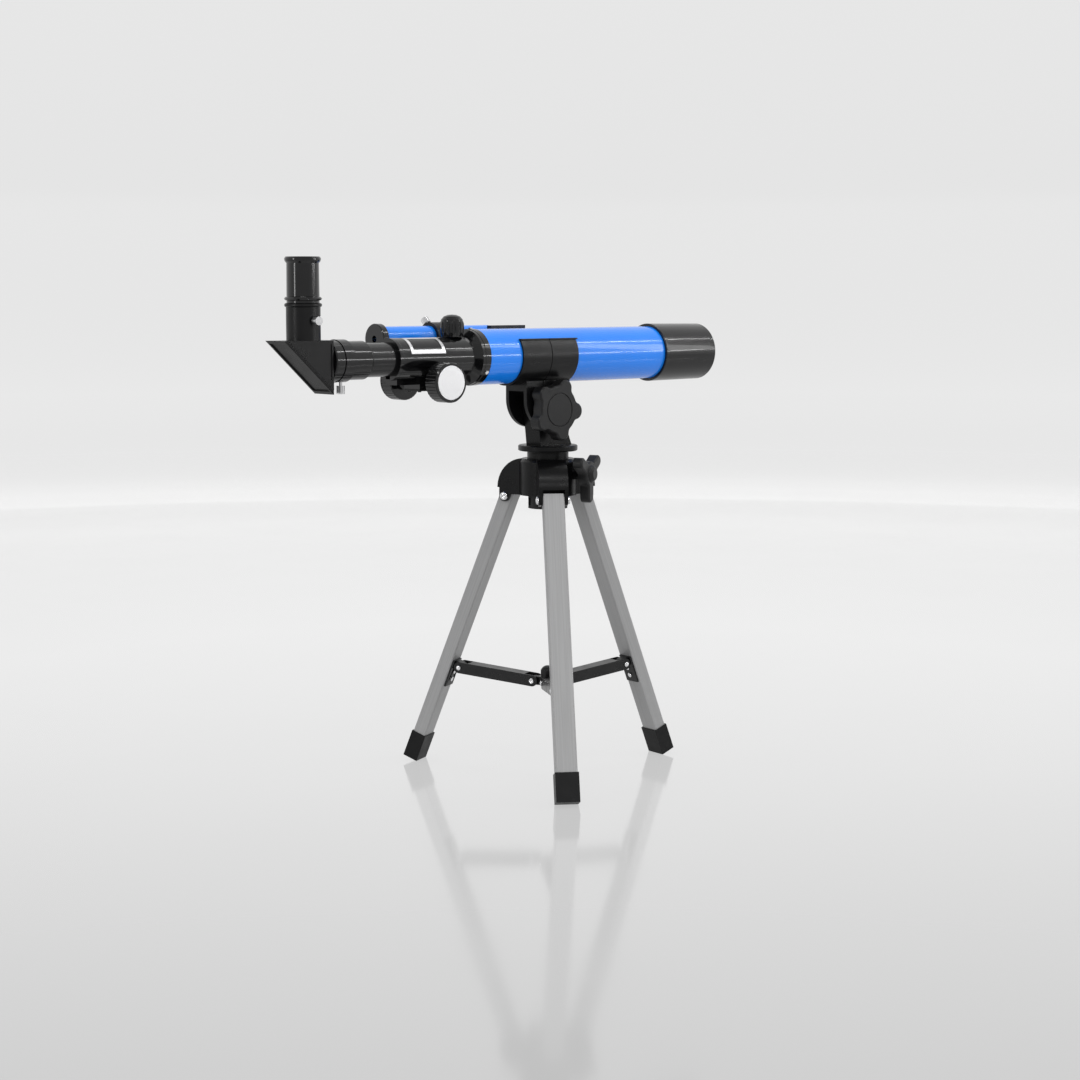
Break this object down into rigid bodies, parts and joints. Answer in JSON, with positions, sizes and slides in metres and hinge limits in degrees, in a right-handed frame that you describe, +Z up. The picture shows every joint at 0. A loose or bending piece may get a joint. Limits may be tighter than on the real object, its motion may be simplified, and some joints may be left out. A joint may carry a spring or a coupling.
{
  "type": "telescope on tripod",
  "caption": "Small refracting telescope with a focuser, diagonal and finder, on a tilting head and a folding table-top tripod.",
  "frame": {"origin": "on the floor, under the pan axis, midway between the feet", "axes": "+Z up, +X along the tube towards the objective, -Y on the side of the tilt knob"},
  "size_m": [0.566, 0.2966, 0.538],
  "materials": {
    "blue": "gloss",
    "black_satin": "satin",
    "black_gloss": "gloss",
    "black_metal": "satin",
    "leg_grey": "satin",
    "foot_black": "matte",
    "chrome": "polished",
    "silver_disc": "spun satin",
    "steel": "brushed",
    "glass": "clear, coated",
    "mirror": "polished",
    "panel_print": "printed"
  },
  "bodies": {
    "tripod": {"crown": "black_satin", "hub_skirt": "black_satin", "leg_pins": "chrome"},
    "pan_lock": {"pan_lock_knob": "black_satin"},
    "spreader": {"spreader_hub": "black_satin", "hub_cap": "black_satin", "hub_pins": "chrome"},
    "head": {"pan_head": "black_satin", "pan_retainer": "steel"},
    "tube": {"saddle": "black_satin", "tilt_nut": "steel", "main_tube": "blue", "dew_shield": "black_metal", "objective_cell": "black_metal", "objective_lens": "glass", "objective_ring": "black_gloss", "focuser_body": "black_gloss", "flange_screws": "chrome", "pinion_cover": "black_satin", "label_frame": "panel_print", "finder_tube": "blue", "finder_eyecap": "black_gloss", "finder_front_ring": "black_gloss", "finder_lens": "glass", "finder_bracket": "black_satin"},
    "tilt_lock": {"tilt_knob": "black_satin", "tilt_bolt": "steel"},
    "focus_lock": {"focus_lock_knob": "black_satin"},
    "draw": {"drawtube": "black_gloss", "rack": "steel", "draw_collar": "black_gloss"},
    "pinion": {"pinion_shaft": "steel", "focus_knob_near": "black_gloss", "focus_knob_far": "black_gloss", "knob_disc_near": "silver_disc", "knob_disc_far": "silver_disc"},
    "collar_lock": {"collar_screw": "chrome"},
    "diagonal": {"diagonal_housing": "black_satin", "diagonal_nose": "chrome", "diagonal_cover": "black_satin", "diagonal_mirror": "mirror"},
    "eyepiece_lock": {"socket_screw": "chrome"},
    "ocular": {"eyepiece": "black_gloss", "eye_lens": "glass"},
    "finder_lock": {"finder_screw": "chrome"},
    "leg_1_body": {"leg_1": "leg_grey", "foot_1": "foot_black", "leg_bracket_1": "black_metal", "bracket_pins_1": "chrome"},
    "brace_1_body": {"brace_1": "black_metal"},
    "leg_2_body": {"leg_2": "leg_grey", "foot_2": "foot_black", "leg_bracket_2": "black_metal", "bracket_pins_2": "chrome"},
    "brace_2_body": {"brace_2": "black_metal"},
    "leg_3_body": {"leg_3": "leg_grey", "foot_3": "foot_black", "leg_bracket_3": "black_metal", "bracket_pins_3": "chrome"},
    "brace_3_body": {"brace_3": "black_metal"}
  },
  "joints": [
    {"name": "pan", "type": "hinge", "parent": "tripod", "child": "head", "pos_m": [0, 0, 0.343], "axis": [0, 0, 1], "continuous": true},
    {"name": "tilt", "type": "hinge", "parent": "head", "child": "tube", "pos_m": [-0.014, 0, 0.385], "axis": [0, -1, 0], "range_deg": [-25, 60]},
    {"name": "tilt_knob_turn", "type": "hinge", "parent": "tube", "child": "tilt_lock", "pos_m": [-0.014, 0, 0.385], "axis": [0, -1, 0], "continuous": true},
    {"name": "pan_lock_turn", "type": "hinge", "parent": "tripod", "child": "pan_lock", "pos_m": [0.01832, -0.04001, 0.318], "axis": [0.4163, -0.9092, 0], "continuous": true},
    {"name": "focus", "type": "slide", "parent": "tube", "child": "draw", "axis": [-1, 0, 0], "range_m": [-0.024, 0.036]},
    {"name": "pinion_turn", "type": "hinge", "parent": "tube", "child": "pinion", "pos_m": [-0.1672, 0, 0.4176], "axis": [0, -1, 0], "range_deg": [-290, 435]},
    {"name": "focus_lock_turn", "type": "hinge", "parent": "tube", "child": "focus_lock", "pos_m": [-0.1295, 0, 0.47], "axis": [0, 0, 1], "continuous": true},
    {"name": "collar_screw_turn", "type": "hinge", "parent": "draw", "child": "collar_lock", "pos_m": [-0.2685, 0, 0.412], "axis": [0, 0, -1], "continuous": true},
    {"name": "diagonal_turn", "type": "hinge", "parent": "draw", "child": "diagonal", "pos_m": [-0.27, 0, 0.44], "axis": [1, 0, 0], "continuous": true},
    {"name": "socket_screw_turn", "type": "hinge", "parent": "diagonal", "child": "eyepiece_lock", "pos_m": [-0.311, -0.026, 0.4785], "axis": [0, -1, 0], "continuous": true},
    {"name": "eyepiece_slide", "type": "slide", "parent": "diagonal", "child": "ocular", "axis": [0, 0, 1], "range_m": [0, 0.02]},
    {"name": "finder_screw_turn", "type": "hinge", "parent": "tube", "child": "finder_lock", "pos_m": [-0.1135, 0.05956, 0.47416], "axis": [0, 0.7071, 0.7071], "continuous": true},
    {"name": "leg_1_fold", "type": "hinge", "parent": "tripod", "child": "leg_1_body", "pos_m": [-0.02502, -0.03521, 0.2929], "axis": [0.8151, -0.5793, 0], "range_deg": [0, 8]},
    {"name": "leg_2_fold", "type": "hinge", "parent": "tripod", "child": "leg_2_body", "pos_m": [0.04301, -0.00407, 0.2929], "axis": [0.0941, 0.9956, 0], "range_deg": [0, 8]},
    {"name": "leg_3_fold", "type": "hinge", "parent": "tripod", "child": "leg_3_body", "pos_m": [-0.01798, 0.03928, 0.2929], "axis": [-0.9092, -0.4163, 0], "range_deg": [0, 8]},
    {"name": "brace_1_swing", "type": "hinge", "parent": "leg_1_body", "child": "brace_1_body", "pos_m": [-0.05787, -0.08143, 0.1054], "axis": [0.8151, -0.5793, 0], "range_deg": [-54.1, 0]},
    {"name": "brace_2_swing", "type": "hinge", "parent": "leg_2_body", "child": "brace_2_body", "pos_m": [0.09946, -0.0094, 0.1054], "axis": [0.0941, 0.9956, 0], "range_deg": [-54.1, 0]},
    {"name": "brace_3_swing", "type": "hinge", "parent": "leg_3_body", "child": "brace_3_body", "pos_m": [-0.04159, 0.09083, 0.1054], "axis": [-0.9092, -0.4163, 0], "range_deg": [-54.1, 0]},
    {"name": "spreader_drop", "type": "slide", "parent": "tripod", "child": "spreader", "axis": [0, 0, -1], "range_m": [0, 0.06531]}
  ],
  "couplings": [
    {"joint": "pinion_turn", "follows": "focus", "rad_per_m": 208.33},
    {"joint": "leg_2_fold", "follows": "leg_1_fold", "ratio": 1},
    {"joint": "leg_3_fold", "follows": "leg_1_fold", "ratio": 1},
    {"joint": "brace_1_swing", "follows": "leg_1_fold", "ratio": -6.7},
    {"joint": "brace_2_swing", "follows": "leg_1_fold", "ratio": -6.7},
    {"joint": "brace_3_swing", "follows": "leg_1_fold", "ratio": -6.7},
    {"joint": "spreader_drop", "follows": "leg_1_fold", "m_per_rad": 0.4606}
  ]
}
